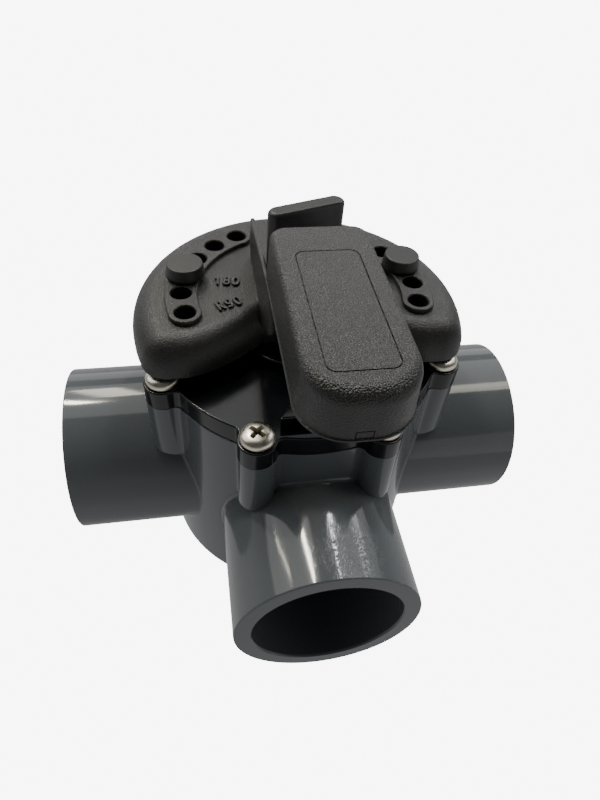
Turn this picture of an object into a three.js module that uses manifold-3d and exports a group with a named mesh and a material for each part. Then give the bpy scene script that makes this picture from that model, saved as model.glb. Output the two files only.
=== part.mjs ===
// A three way diverter valve for plastic pipe, in millimetres, +Z up.
// The origin is the centre of the body's flat underside. The stem turns about Z, the side ports
// look along -X and +X, and the single front port looks along -Y. At rest the lever lies over it.
import * as THREE from 'three';
import { mergeVertices } from 'three/addons/utils/BufferGeometryUtils.js';
import Module from 'manifold-3d';

const wasm = await Module();
wasm.setup();

// Clearances
const GAP = 0.3;
const THROUGH = 1;

// Ports: each end is a spigot outside and a socket inside
const PORT_RADIUS = 30.15;
const SOCKET_RADIUS = 24.2;
const SOCKET_DEPTH = 36;
const BORE_RADIUS = 21;
const PORT_REACH = 82;
const PORT_HEIGHT = 37;
const PORT_ANGLES = [180, 0, 270];
const PORT_LEAD_IN = 0.8;

// Body
const BODY_RADIUS = 48.2;
const BODY_TOP = 81;
const BODY_FOOT_ROUND = 3;
const CHAMBER_RADIUS = 42.5;
const CHAMBER_FLOOR = 5;
const PIVOT_RADIUS = 8;
const PIVOT_POCKET = 2.5;

// Screws, ears and bosses
const SCREW_COUNT = 8;
const SCREW_CIRCLE = 49.7;
const FIRST_SCREW_ANGLE = 22.5;
const BOSS_RADIUS = 6;
const BOSS_FOOT = 57;
const BOSS_FOOT_TAPER = 2;
const EAR_RADIUS = 6.1;
const PILOT_RADIUS = 2.3;
const PILOT_FOOT = 63;
const SCREW_SHANK_RADIUS = 2;
const SCREW_TIP = 64.5;
const SCREW_HEAD_RADIUS = 5.3;
const SCREW_HEAD_HEIGHT = 3.4;
const SCREW_HEAD_SIDE = 1.4;
const SCREW_CROWN_RADIUS = 3.8;
const RECESS_LENGTH = 5.4;
const RECESS_WIDTH = 1.3;
const RECESS_DEPTH = 1.9;

// Cover
const COVER_RADIUS = 47.8;
const COVER_FOOT = BODY_TOP + GAP;
const COVER_TOP = 88;
const EAR_TOP = 87.8;
const PLUG_RADIUS = CHAMBER_RADIUS - GAP;
const PLUG_FOOT = 70.2;
const COVER_GROOVE_RADIUS = 39.5;
const COVER_RING_SECTION = 1.3;
const COVER_RING_HEIGHT = 75.2;
const STEM_BORE_RADIUS = 9.3;
const COVER_BOSS_RADIUS = 20;
const COVER_BOSS_TOP = 91.5;
const STOP_TOP = 92.2;
const STOP_OUTER = { x: 12, y: -42.4 };
const STOP_INNER = { x: 6.5, y: -34 };

// Diverter and stem
const DISC_RADIUS = 41.6;
const LOWER_DISC = [5.4, 9.4];
const UPPER_DISC = [65.2, 69.7];
const PLATE_RADII = [36.6, 41.2];
const PLATE_HALF_ANGLE = 41;
const SEAL_RADII = [40.2, 42.2];
const SEAL_OUTER_HALF_ANGLE = 38.5;
const SEAL_INNER_HALF_ANGLE = 31.5;
const SEAL_OUTER_HEIGHTS = [11.3, 62.7];
const SEAL_INNER_HEIGHTS = [14.5, 59.5];
const STEM_RADIUS = 9;
const STEM_SHOULDER = 92.4;
const STEM_SQUARE = 13;
const STEM_TOP = 104.3;
const STEM_GROOVE_RADIUS = 7;
const STEM_GROOVE_HEIGHT = 2.4;
const STEM_RING_SECTION = 0.95;
const STEM_RING_CENTRE = 8.15;
const STEM_RING_HEIGHTS = [80, 85.5];
const STUD_HOLE_RADIUS = 4.3;
const STUD_HOLE_FOOT = 86;

// Handle dial
const DIAL_RADIUS = 54.5;
const DIAL_FOOT = 92.5;
const DIAL_TOP = 104.8;
const DIAL_ROUND = 7.5;
const DIAL_WALL = 3;
const LOBE_RADIUS = 8.6;
const LOBE_ANGLE = 19.1;
const LOBE_FLAT = { x: 38, y: -23.5 };
const LOBE_BEND = { x: 28, y: -22 };
const LOBE_ROOT = { x: 13.6, y: -9.5 };
const HUB_RADIUS = 13;
const HUB_FOOT = 92;
const HOLE_CIRCLE = 38.3;
const HOLE_RADIUS = 3.35;
const HOLE_COUNT = 6;
const FIRST_HOLE_ANGLE = 77;
const HOLE_PITCH = 15;
const PIN_HOLE_INDEX = 2;
const PAD_HALF_WIDTH = 5.1;
const PAD_TOP = 106.4;
const RAIL_FOOT = 96;

// Handle lever and its support
const LEVER_TOP = 138.7;
const LEVER_RIM = 124.6;
const LEVER_TOP_HALF_WIDTH = 13.3;
const LEVER_RIM_HALF_WIDTH = 14.3;
const LEVER_FAR_END = -16.5;
const LEVER_NEAR_END = -79.8;
const LEVER_NEAR_RADIUS = 11.5;
const LEVER_FAR_RADIUS = 3;
const LEVER_EDGE_ROUND = 2.5;
const LEVER_WALL = 2.5;
const LEVER_TOP_REACH = 0.4;
const SUPPORT_HALF_WIDTH = 14.1;
const SUPPORT_WALL = 1.5;
const SUPPORT_FRONT = -27;
const SUPPORT_FRONT_FOOT = 110.3;
const SUPPORT_HEEL = -9;
const SUPPORT_HEEL_FOOT = 103.5;
const SUPPORT_FOOT = 95.6;
const FIN_START = LEVER_FAR_END - LEVER_FAR_RADIUS;
const FIN_START_TOP = 123.8;
const FIN_END = 23.5;
const FIN_END_TOP = 119.5;

// Stop pins
const PIN_HEAD_RADII = [6.4, 5.8];
const PIN_HEAD_HEIGHT = 4.3;
const PIN_SHANK_RADIUS = 3.05;
const PIN_TIP_RADIUS = 2.4;
const PIN_SHOULDER = 97;
const PIN_FOOT = 88.8;

// Locking knob, its stud and washer
const WASHER_RADIUS = 11;
const WASHER_HOLE_RADIUS = 4.5;
const WASHER_THICKNESS = 1.2;
const KNOB_FLANGE_RADIUS = 11.5;
const KNOB_FLANGE_HEIGHT = 5;
const KNOB_NECK_RADIUS = 8;
const KNOB_NECK_HEIGHT = 8;
const WING_TOP = 136.3;
const WING_LENGTH = 24.6;
const WING_THICKNESS = 5.2;
const WING_TURN = 18;
const WING_CORNER = 2.5;
const STUD_RADIUS = 4;
const STUD_FOOT = 90;
const STUD_TOP = 116;

// Facets
const BODY_SEGMENTS = 56;
const PORT_SEGMENTS = 36;
const BOSS_SEGMENTS = 12;
const SMALL_SEGMENTS = 10;
const RING_SEGMENTS = 32;
const RING_SECTION_SEGMENTS = 6;
const CORNER_STEPS = 4;
const BEVEL_SEGMENTS = 3;
const MERGE_DISTANCE = 1e-4;

const radians = THREE.MathUtils.degToRad;

// ---------------------------------------------------------------- solids

function solid(geometry) {
  const bare = geometry.clone();
  bare.deleteAttribute('normal');
  bare.deleteAttribute('uv');
  const merged = mergeVertices(bare, MERGE_DISTANCE);
  const positions = merged.attributes.position.array;
  const triangles = [];
  let volume = 0;
  const a = new THREE.Vector3();
  const b = new THREE.Vector3();
  const c = new THREE.Vector3();
  const index = merged.index.array;
  for (let i = 0; i < index.length; i += 3) {
    const [p, q, r] = index.slice(i, i + 3);
    if (p === q || q === r || r === p) continue;
    triangles.push(p, q, r);
    a.fromArray(positions, p * 3);
    b.fromArray(positions, q * 3);
    c.fromArray(positions, r * 3);
    volume += a.dot(b.cross(c));
  }
  if (volume < 0) triangles.reverse();
  return new wasm.Manifold(new wasm.Mesh({
    numProp: 3,
    vertProperties: new Float32Array(positions),
    triVerts: new Uint32Array(triangles),
  }));
}

function geometryOf(made) {
  const mesh = made.getMesh();
  const geometry = new THREE.BufferGeometry();
  geometry.setAttribute('position', new THREE.BufferAttribute(mesh.vertProperties, 3));
  geometry.setIndex(new THREE.BufferAttribute(mesh.triVerts, 1));
  geometry.computeVertexNormals();
  return geometry;
}

function join(solids) {
  return solids.reduce((whole, next) => whole.add(next));
}

function cut(whole, tools) {
  return tools.reduce((left, tool) => left.subtract(tool), whole);
}

// A round bar along Z, its upper end optionally of another radius
function bar(radius, foot, top, segments = BODY_SEGMENTS, topRadius = radius) {
  const geometry = new THREE.CylinderGeometry(topRadius, radius, top - foot, segments);
  geometry.rotateX(Math.PI / 2);
  geometry.translate(0, 0, (foot + top) / 2);
  return solid(geometry);
}

// A turned solid about Z from a closed list of [radius, height]
function turned(profile, segments = BODY_SEGMENTS) {
  const closed = [...profile, profile[0]];
  const geometry = new THREE.LatheGeometry(closed.map(([r, z]) => new THREE.Vector2(r, z)), segments);
  geometry.rotateX(Math.PI / 2);
  return solid(geometry);
}

function block(x0, x1, y0, y1, z0, z1) {
  const geometry = new THREE.BoxGeometry(x1 - x0, y1 - y0, z1 - z0);
  geometry.translate((x0 + x1) / 2, (y0 + y1) / 2, (z0 + z1) / 2);
  return solid(geometry);
}

// An upright prism over an outline of Vector2
function prism(outline, foot, top) {
  const geometry = new THREE.ExtrudeGeometry(new THREE.Shape(outline), {
    depth: top - foot,
    bevelEnabled: false,
  });
  geometry.translate(0, 0, foot);
  return solid(geometry);
}

// An upright prism whose upper edge is rounded
function domed(outline, foot, top, round, bevelSegments = BEVEL_SEGMENTS) {
  const geometry = new THREE.ExtrudeGeometry(new THREE.Shape(outline), {
    depth: top - foot,
    bevelThickness: round,
    bevelSize: round,
    bevelOffset: -round,
    bevelSegments,
  });
  geometry.translate(0, 0, foot - round);
  const reach = DIAL_RADIUS * 2;
  return solid(geometry).subtract(block(-reach, reach, -reach, reach, foot - 3 * round, foot));
}

// A closed ring of round section about Z
function ring(centreRadius, sectionRadius, height) {
  const profile = [];
  for (let step = 0; step < RING_SECTION_SEGMENTS; step += 1) {
    const angle = (step / RING_SECTION_SEGMENTS) * Math.PI * 2;
    profile.push([
      centreRadius + sectionRadius * Math.cos(angle),
      height + sectionRadius * Math.sin(angle),
    ]);
  }
  return turned(profile, RING_SEGMENTS);
}

function arc(x, y, radius, from, to, steps = CORNER_STEPS) {
  const points = [];
  for (let step = 0; step <= steps; step += 1) {
    const angle = radians(from + ((to - from) * step) / steps);
    points.push(new THREE.Vector2(x + radius * Math.cos(angle), y + radius * Math.sin(angle)));
  }
  return points;
}

// A part of a tube about Z, centred on the -Y side, between two radii, heights and half-angles
function tubeSector(radii, heights, halfAngle) {
  const [inner, outer] = radii;
  const steps = Math.ceil(halfAngle / 4);
  const outline = [
    ...arc(0, 0, outer, 270 - halfAngle, 270 + halfAngle, steps),
    ...arc(0, 0, inner, 270 + halfAngle, 270 - halfAngle, steps),
  ];
  return prism(outline, heights[0], heights[1]);
}

// Places a solid made on the Z axis at a radius and an angle from +X
function placed(made, radius, angle) {
  return made.translate([radius, 0, 0]).rotate([0, 0, angle]);
}

function screwAngles() {
  return Array.from({ length: SCREW_COUNT }, (_, i) => FIRST_SCREW_ANGLE + (i * 360) / SCREW_COUNT);
}

// ---------------------------------------------------------------- body

// A solid of revolution about Z, laid along the port direction at the given angle
function alongPort(made, angle) {
  return made.rotate([0, 90, 0]).translate([0, 0, PORT_HEIGHT]).rotate([0, 0, angle]);
}

function portOutside(angle) {
  const rim = PORT_RADIUS - PORT_LEAD_IN;
  const profile = [
    [0, 0],
    [PORT_RADIUS, 0],
    [PORT_RADIUS, PORT_REACH - PORT_LEAD_IN],
    [rim, PORT_REACH],
    [0, PORT_REACH],
  ];
  return alongPort(turned(profile, PORT_SEGMENTS), angle);
}

function portInside(angle) {
  const shoulder = PORT_REACH - SOCKET_DEPTH;
  const profile = [
    [0, 0],
    [BORE_RADIUS, 0],
    [BORE_RADIUS, shoulder],
    [SOCKET_RADIUS, shoulder],
    [SOCKET_RADIUS, PORT_REACH - PORT_LEAD_IN],
    [SOCKET_RADIUS + PORT_LEAD_IN, PORT_REACH],
    [SOCKET_RADIUS + PORT_LEAD_IN, PORT_REACH + THROUGH],
    [0, PORT_REACH + THROUGH],
  ];
  return alongPort(turned(profile, PORT_SEGMENTS), angle);
}

function bodyBoss(angle) {
  const foot = bar(BOSS_RADIUS - BOSS_FOOT_TAPER, BOSS_FOOT, BOSS_FOOT + BOSS_FOOT_TAPER,
    BOSS_SEGMENTS, BOSS_RADIUS);
  const length = bar(BOSS_RADIUS, BOSS_FOOT + BOSS_FOOT_TAPER, BODY_TOP, BOSS_SEGMENTS);
  return placed(foot.add(length), SCREW_CIRCLE, angle);
}

function valveBody() {
  const shell = turned([
    [0, 0],
    [BODY_RADIUS - BODY_FOOT_ROUND, 0],
    [BODY_RADIUS - BODY_FOOT_ROUND / 3, BODY_FOOT_ROUND / 3],
    [BODY_RADIUS, BODY_FOOT_ROUND],
    [BODY_RADIUS, BODY_TOP],
    [0, BODY_TOP],
  ]);
  const outside = join([shell, ...PORT_ANGLES.map(portOutside), ...screwAngles().map(bodyBoss)]);
  const chamber = bar(CHAMBER_RADIUS, CHAMBER_FLOOR, BODY_TOP + THROUGH);
  const pocket = bar(PIVOT_RADIUS + GAP, PIVOT_POCKET, CHAMBER_FLOOR + THROUGH, BOSS_SEGMENTS);
  const pilots = screwAngles().map((angle) => placed(
    bar(PILOT_RADIUS, PILOT_FOOT, BODY_TOP + THROUGH, SMALL_SEGMENTS), SCREW_CIRCLE, angle));
  return cut(outside, [chamber, pocket, ...PORT_ANGLES.map(portInside), ...pilots]);
}

// ---------------------------------------------------------------- cover

function stopTab() {
  const outline = [
    new THREE.Vector2(STOP_OUTER.x, STOP_OUTER.y),
    new THREE.Vector2(STOP_INNER.x, STOP_INNER.y),
    new THREE.Vector2(-STOP_INNER.x, STOP_INNER.y),
    new THREE.Vector2(-STOP_OUTER.x, STOP_OUTER.y),
  ];
  return prism(outline, COVER_TOP - THROUGH, STOP_TOP);
}

function cover() {
  const grooveHalf = COVER_RING_SECTION + GAP;
  const ears = screwAngles().map((angle) => placed(
    bar(EAR_RADIUS, COVER_FOOT, EAR_TOP, BOSS_SEGMENTS), SCREW_CIRCLE, angle));
  const plate = turned([
    [0, PLUG_FOOT],
    [PLUG_RADIUS, PLUG_FOOT],
    [PLUG_RADIUS, COVER_RING_HEIGHT - grooveHalf],
    [COVER_GROOVE_RADIUS, COVER_RING_HEIGHT - grooveHalf],
    [COVER_GROOVE_RADIUS, COVER_RING_HEIGHT + grooveHalf],
    [PLUG_RADIUS, COVER_RING_HEIGHT + grooveHalf],
    [PLUG_RADIUS, COVER_FOOT],
    [COVER_RADIUS, COVER_FOOT],
    [COVER_RADIUS, COVER_TOP],
    [COVER_BOSS_RADIUS, COVER_TOP],
    [COVER_BOSS_RADIUS, COVER_BOSS_TOP - GAP],
    [COVER_BOSS_RADIUS - GAP, COVER_BOSS_TOP],
    [0, COVER_BOSS_TOP],
  ]);
  const bore = bar(STEM_BORE_RADIUS, PLUG_FOOT - THROUGH, COVER_BOSS_TOP + THROUGH, PORT_SEGMENTS);
  const holes = screwAngles().map((angle) => placed(
    bar(PILOT_RADIUS + GAP, COVER_FOOT - THROUGH, COVER_TOP + THROUGH, SMALL_SEGMENTS),
    SCREW_CIRCLE, angle));
  return cut(join([plate, stopTab(), ...ears]), [bore, ...holes]);
}

function screw() {
  const seat = COVER_TOP + GAP / 3;
  const headTop = seat + SCREW_HEAD_HEIGHT;
  const made = turned([
    [0, SCREW_TIP],
    [SCREW_SHANK_RADIUS, SCREW_TIP + SCREW_SHANK_RADIUS * 2],
    [SCREW_SHANK_RADIUS, seat],
    [SCREW_HEAD_RADIUS, seat],
    [SCREW_HEAD_RADIUS, seat + SCREW_HEAD_SIDE],
    [SCREW_CROWN_RADIUS, headTop],
    [0, headTop],
  ], BOSS_SEGMENTS);
  const half = RECESS_LENGTH / 2;
  const narrow = RECESS_WIDTH / 2;
  const floor = headTop - RECESS_DEPTH;
  const slots = [
    block(-half, half, -narrow, narrow, floor, headTop + THROUGH),
    block(-narrow, narrow, -half, half, floor, headTop + THROUGH),
  ];
  return cut(made, slots);
}

// ---------------------------------------------------------------- diverter

function sealFrame(clearance) {
  const grow = THREE.MathUtils.radToDeg(clearance / SEAL_RADII[1]);
  const outer = tubeSector(
    [SEAL_RADII[0] - clearance, SEAL_RADII[1]],
    [SEAL_OUTER_HEIGHTS[0] - clearance, SEAL_OUTER_HEIGHTS[1] + clearance],
    SEAL_OUTER_HALF_ANGLE + grow,
  );
  const inner = tubeSector(
    [SEAL_RADII[0] - clearance - THROUGH, SEAL_RADII[1] + THROUGH],
    [SEAL_INNER_HEIGHTS[0] + clearance, SEAL_INNER_HEIGHTS[1] - clearance],
    SEAL_INNER_HALF_ANGLE - grow,
  );
  return outer.subtract(inner);
}

function diverterRotor() {
  const plate = tubeSector(
    PLATE_RADII,
    [LOWER_DISC[1] - THROUGH, UPPER_DISC[0] + THROUGH],
    PLATE_HALF_ANGLE,
  ).subtract(sealFrame(GAP));
  const half = STEM_SQUARE / 2;
  const square = block(-half, half, -half, half, STEM_SHOULDER - THROUGH, STEM_TOP)
    .intersect(bar(STEM_RADIUS - GAP, STEM_SHOULDER - THROUGH, STEM_TOP, PORT_SEGMENTS));
  const grooves = STEM_RING_HEIGHTS.map((height) => turned([
    [STEM_GROOVE_RADIUS, height - STEM_GROOVE_HEIGHT / 2],
    [STEM_RADIUS + THROUGH, height - STEM_GROOVE_HEIGHT / 2],
    [STEM_RADIUS + THROUGH, height + STEM_GROOVE_HEIGHT / 2],
    [STEM_GROOVE_RADIUS, height + STEM_GROOVE_HEIGHT / 2],
  ], PORT_SEGMENTS));
  const studHole = bar(STUD_HOLE_RADIUS, STUD_HOLE_FOOT, STEM_TOP + THROUGH, SMALL_SEGMENTS);
  const made = join([
    bar(PIVOT_RADIUS, PIVOT_POCKET + GAP, LOWER_DISC[1], BOSS_SEGMENTS),
    bar(DISC_RADIUS, LOWER_DISC[0], LOWER_DISC[1], PORT_SEGMENTS),
    bar(DISC_RADIUS, UPPER_DISC[0], UPPER_DISC[1], PORT_SEGMENTS),
    bar(STEM_RADIUS, UPPER_DISC[0], STEM_SHOULDER, PORT_SEGMENTS),
    plate,
    square,
  ]);
  return cut(made, [...grooves, studHole]);
}

// ---------------------------------------------------------------- handle

// The dial's outline seen from above: a round disc with a bay at the front between two lobes
function dialOutline(inset) {
  const lobeDistance = DIAL_RADIUS - LOBE_RADIUS;
  const lobeX = lobeDistance * Math.cos(radians(LOBE_ANGLE));
  const lobeY = -lobeDistance * Math.sin(radians(LOBE_ANGLE));
  const radius = LOBE_RADIUS - inset;
  const bay = (side) => new THREE.QuadraticBezierCurve(
    new THREE.Vector2(side * LOBE_ROOT.x, LOBE_ROOT.y + inset),
    new THREE.Vector2(side * LOBE_BEND.x, LOBE_BEND.y + inset),
    new THREE.Vector2(side * LOBE_FLAT.x, LOBE_FLAT.y + inset),
  ).getPoints(CORNER_STEPS);
  return [
    ...bay(1),
    ...arc(lobeX, lobeY, radius, -90, -LOBE_ANGLE),
    ...arc(0, 0, DIAL_RADIUS - inset, -LOBE_ANGLE, 180 + LOBE_ANGLE, PORT_SEGMENTS).slice(1),
    ...arc(-lobeX, lobeY, radius, 180 + LOBE_ANGLE, 270).slice(1),
    ...bay(-1).reverse(),
  ];
}

// A curved strip with round ends that follows the hole circle on one side of the dial
function holeStrip(side, halfWidth, foot, top) {
  const from = FIRST_HOLE_ANGLE;
  const to = FIRST_HOLE_ANGLE + HOLE_PITCH * (HOLE_COUNT - 1);
  const centre = 270;
  const endCentre = (angle) => [
    HOLE_CIRCLE * Math.cos(radians(centre + side * angle)),
    HOLE_CIRCLE * Math.sin(radians(centre + side * angle)),
  ];
  const first = centre + side * from;
  const last = centre + side * to;
  const turn = side * 180;
  const outline = [
    ...arc(0, 0, HOLE_CIRCLE + halfWidth, first, last, SMALL_SEGMENTS),
    ...arc(...endCentre(to), halfWidth, last, last + turn, 2 * CORNER_STEPS).slice(1),
    ...arc(0, 0, HOLE_CIRCLE - halfWidth, last, first, SMALL_SEGMENTS).slice(1),
    ...arc(...endCentre(from), halfWidth, first + turn, first + 2 * turn, 2 * CORNER_STEPS).slice(1, -1),
  ];
  return prism(outline, foot, top);
}

function holeAngles(side) {
  return Array.from({ length: HOLE_COUNT }, (_, i) => (
    270 + side * (FIRST_HOLE_ANGLE + HOLE_PITCH * i)));
}

// The dial is a hollow cap: a rounded top and skirt over an open underside
function dial() {
  const cap = domed(dialOutline(0), DIAL_FOOT, DIAL_TOP, DIAL_ROUND);
  const cavity = domed(dialOutline(DIAL_WALL), DIAL_FOOT - THROUGH, DIAL_TOP - DIAL_WALL,
    DIAL_ROUND - DIAL_WALL, 1);
  const core = bar(HUB_RADIUS, HUB_FOOT - 2 * THROUGH, DIAL_TOP, PORT_SEGMENTS);
  const rails = [-1, 1].map((side) => holeStrip(side, PAD_HALF_WIDTH - GAP, RAIL_FOOT, DIAL_TOP));
  return cap.subtract(cut(cavity, [core, ...rails]));
}

// The two upright walls that carry the lever. They rise from the dial, reach forward over its
// front edge into the lever's sides, and run on behind the lever as two low fins.
function support() {
  const side = new THREE.Shape([
    new THREE.Vector2(SUPPORT_FRONT, SUPPORT_FRONT_FOOT),
    new THREE.Vector2(SUPPORT_HEEL, SUPPORT_HEEL_FOOT),
    new THREE.Vector2(SUPPORT_HEEL, SUPPORT_FOOT),
    new THREE.Vector2(FIN_END, SUPPORT_FOOT),
    new THREE.Vector2(FIN_END, FIN_END_TOP),
    new THREE.Vector2(FIN_START, FIN_START_TOP),
    new THREE.Vector2(FIN_START, LEVER_RIM + THROUGH),
    new THREE.Vector2(SUPPORT_FRONT, LEVER_RIM + THROUGH),
  ]);
  const geometry = new THREE.ExtrudeGeometry(side, { depth: SUPPORT_WALL, bevelEnabled: false });
  geometry.rotateX(Math.PI / 2);
  geometry.rotateZ(Math.PI / 2);
  const wall = solid(geometry);
  return wall.translate([SUPPORT_HALF_WIDTH - SUPPORT_WALL, 0, 0])
    .add(wall.translate([-SUPPORT_HALF_WIDTH, 0, 0]));
}

// The lever's outline seen from above: round at the near end, nearly square at the far end
function leverOutline(halfWidth, near, far) {
  const nearRadius = LEVER_NEAR_RADIUS - (LEVER_RIM_HALF_WIDTH - halfWidth);
  const side = halfWidth - nearRadius;
  const farSide = halfWidth - LEVER_FAR_RADIUS;
  return [
    ...arc(-side, near + nearRadius, nearRadius, 180, 270),
    ...arc(side, near + nearRadius, nearRadius, 270, 360),
    ...arc(farSide, far - LEVER_FAR_RADIUS, LEVER_FAR_RADIUS, 0, 90),
    ...arc(-farSide, far - LEVER_FAR_RADIUS, LEVER_FAR_RADIUS, 90, 180),
  ];
}

// A closed skin through outlines of equal length, one above the other
function lofted(levels) {
  const positions = [];
  const index = [];
  const count = levels[0].outline.length;
  for (const { outline, height } of levels) {
    for (const point of outline) positions.push(point.x, point.y, height);
  }
  for (let level = 0; level < levels.length - 1; level += 1) {
    for (let i = 0; i < count; i += 1) {
      const a = level * count + i;
      const b = level * count + ((i + 1) % count);
      index.push(a, b, b + count, a, b + count, a + count);
    }
  }
  const caps = THREE.ShapeUtils.triangulateShape(levels[0].outline, []);
  const last = (levels.length - 1) * count;
  for (const [a, b, c] of caps) {
    index.push(a, c, b, last + a, last + b, last + c);
  }
  const geometry = new THREE.BufferGeometry();
  geometry.setAttribute('position', new THREE.Float32BufferAttribute(positions, 3));
  geometry.setIndex(index);
  return solid(geometry);
}

function leverLevels(wall, foot, steps) {
  const far = LEVER_FAR_END - wall;
  const levels = [{
    outline: leverOutline(LEVER_RIM_HALF_WIDTH - wall, LEVER_NEAR_END + wall, far),
    height: foot,
  }];
  const top = LEVER_TOP - wall;
  const near = LEVER_NEAR_END + LEVER_TOP_REACH + wall;
  for (let step = 0; step <= steps; step += 1) {
    const angle = (step / steps) * (Math.PI / 2);
    const inset = LEVER_EDGE_ROUND * (1 - Math.cos(angle));
    levels.push({
      outline: leverOutline(LEVER_TOP_HALF_WIDTH - wall - inset, near + inset, far),
      height: top - LEVER_EDGE_ROUND * (1 - Math.sin(angle)),
    });
  }
  return levels;
}

// The lever is a long box, open underneath
function lever() {
  const outside = lofted(leverLevels(0, LEVER_RIM, BEVEL_SEGMENTS));
  const hollow = lofted(leverLevels(LEVER_WALL, LEVER_RIM - THROUGH, 1));
  return outside.subtract(hollow);
}

function handle() {
  const pads = [-1, 1].map((side) => holeStrip(side, PAD_HALF_WIDTH, DIAL_TOP - THROUGH, PAD_TOP));
  const core = bar(HUB_RADIUS, HUB_FOOT, DIAL_TOP, PORT_SEGMENTS);
  const half = STEM_SQUARE / 2 + GAP;
  const socket = block(-half, half, -half, half, HUB_FOOT - THROUGH, DIAL_TOP + THROUGH);
  const collar = bar(STEM_RADIUS + GAP, HUB_FOOT - THROUGH, STEM_SHOULDER + GAP, PORT_SEGMENTS);
  const holes = [-1, 1].flatMap((side) => holeAngles(side).map((angle) => placed(
    bar(HOLE_RADIUS, DIAL_FOOT - THROUGH, PAD_TOP + THROUGH, SMALL_SEGMENTS), HOLE_CIRCLE, angle)));
  const made = join([dial(), core, support(), lever(), ...pads]);
  return cut(made, [socket, collar, ...holes]);
}

// ---------------------------------------------------------------- pins and knob

function stopPin(side) {
  const seat = PAD_TOP + GAP;
  const made = turned([
    [0, PIN_FOOT],
    [PIN_TIP_RADIUS, PIN_FOOT],
    [PIN_TIP_RADIUS, PIN_SHOULDER],
    [PIN_SHANK_RADIUS, PIN_SHOULDER + THROUGH],
    [PIN_SHANK_RADIUS, seat],
    [PIN_HEAD_RADII[0], seat],
    [PIN_HEAD_RADII[0], seat + THROUGH],
    [PIN_HEAD_RADII[1], seat + PIN_HEAD_HEIGHT],
    [0, seat + PIN_HEAD_HEIGHT],
  ], BOSS_SEGMENTS);
  return placed(made, HOLE_CIRCLE, holeAngles(side)[PIN_HOLE_INDEX]);
}

function knobSeat() {
  return DIAL_TOP + GAP + WASHER_THICKNESS + GAP;
}

function wing() {
  const half = WING_LENGTH / 2;
  const end = WING_THICKNESS / 2;
  const foot = knobSeat() + KNOB_FLANGE_HEIGHT - THROUGH;
  const plan = [
    ...arc(half - end, 0, end, -90, 90),
    ...arc(-half + end, 0, end, 90, 270),
  ];
  const upright = prism(plan, foot, WING_TOP);
  const frontView = new THREE.Shape([
    new THREE.Vector2(-half, foot),
    new THREE.Vector2(half, foot),
    ...arc(half - WING_CORNER, WING_TOP - WING_CORNER, WING_CORNER, 0, 90),
    ...arc(-half + WING_CORNER, WING_TOP - WING_CORNER, WING_CORNER, 90, 180),
  ]);
  const geometry = new THREE.ExtrudeGeometry(frontView, {
    depth: WING_THICKNESS * 2,
    bevelEnabled: false,
  });
  geometry.translate(0, 0, -WING_THICKNESS);
  geometry.rotateX(Math.PI / 2);
  return upright.intersect(solid(geometry)).rotate([0, 0, WING_TURN]);
}

function lockingKnob() {
  const seat = knobSeat();
  const flangeTop = seat + KNOB_FLANGE_HEIGHT;
  const base = turned([
    [0, seat],
    [KNOB_FLANGE_RADIUS, seat],
    [KNOB_FLANGE_RADIUS, flangeTop - THROUGH],
    [KNOB_FLANGE_RADIUS - THROUGH, flangeTop],
    [KNOB_NECK_RADIUS, flangeTop],
    [KNOB_NECK_RADIUS - THROUGH, flangeTop + KNOB_NECK_HEIGHT],
    [0, flangeTop + KNOB_NECK_HEIGHT],
  ], PORT_SEGMENTS);
  const studSocket = bar(STUD_RADIUS + GAP, seat - THROUGH, STUD_TOP + GAP, SMALL_SEGMENTS);
  return base.add(wing()).subtract(studSocket);
}

function knobWasher() {
  const foot = DIAL_TOP + GAP;
  return bar(WASHER_RADIUS, foot, foot + WASHER_THICKNESS, PORT_SEGMENTS)
    .subtract(bar(WASHER_HOLE_RADIUS, foot - THROUGH, foot + 2 * THROUGH, SMALL_SEGMENTS));
}

function knobStud() {
  return bar(STUD_RADIUS, STUD_FOOT, STUD_TOP, SMALL_SEGMENTS);
}

// ---------------------------------------------------------------- assembly

function finish(color, roughness, metalness = 0) {
  return { color, roughness, metalness };
}

const GREY_PLASTIC = finish(0x56595c, 0.28);
const BLACK_PLASTIC = finish(0x14171a, 0.2);
const GRAINED_PLASTIC = finish(0x3a3a38, 0.55);
const SATIN_PLASTIC = finish(0x474a4a, 0.45);
const INNER_PLASTIC = finish(0x2c2e30, 0.4);
const RUBBER = finish(0x161616, 0.8);
const STEEL = finish(0xc9c6bf, 0.25, 1);

const valve = new THREE.Group();

function addPiece(name, made, look) {
  const mesh = new THREE.Mesh(geometryOf(made), new THREE.MeshStandardMaterial(look));
  mesh.name = name;
  valve.add(mesh);
  return mesh;
}

addPiece('valve_body', valveBody(), GREY_PLASTIC);
addPiece('cover', cover(), BLACK_PLASTIC);
addPiece('cover_o_ring', ring(CHAMBER_RADIUS - GAP / 2 - COVER_RING_SECTION, COVER_RING_SECTION,
  COVER_RING_HEIGHT), RUBBER);
screwAngles().forEach((angle, i) => {
  const mesh = addPiece(`cover_screw_${i + 1}`, screw(), STEEL);
  mesh.position.set(
    SCREW_CIRCLE * Math.cos(radians(angle)),
    SCREW_CIRCLE * Math.sin(radians(angle)),
    0,
  );
  mesh.rotation.z = radians(angle);
});
addPiece('diverter_rotor', diverterRotor(), INNER_PLASTIC);
addPiece('diverter_seal', sealFrame(0), RUBBER);
addPiece('stem_o_ring_lower', ring(STEM_RING_CENTRE, STEM_RING_SECTION, STEM_RING_HEIGHTS[0]), RUBBER);
addPiece('stem_o_ring_upper', ring(STEM_RING_CENTRE, STEM_RING_SECTION, STEM_RING_HEIGHTS[1]), RUBBER);
addPiece('handle', handle(), GRAINED_PLASTIC);
addPiece('stop_pin_left', stopPin(-1), SATIN_PLASTIC);
addPiece('stop_pin_right', stopPin(1), SATIN_PLASTIC);
addPiece('knob_washer', knobWasher(), STEEL);
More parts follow.
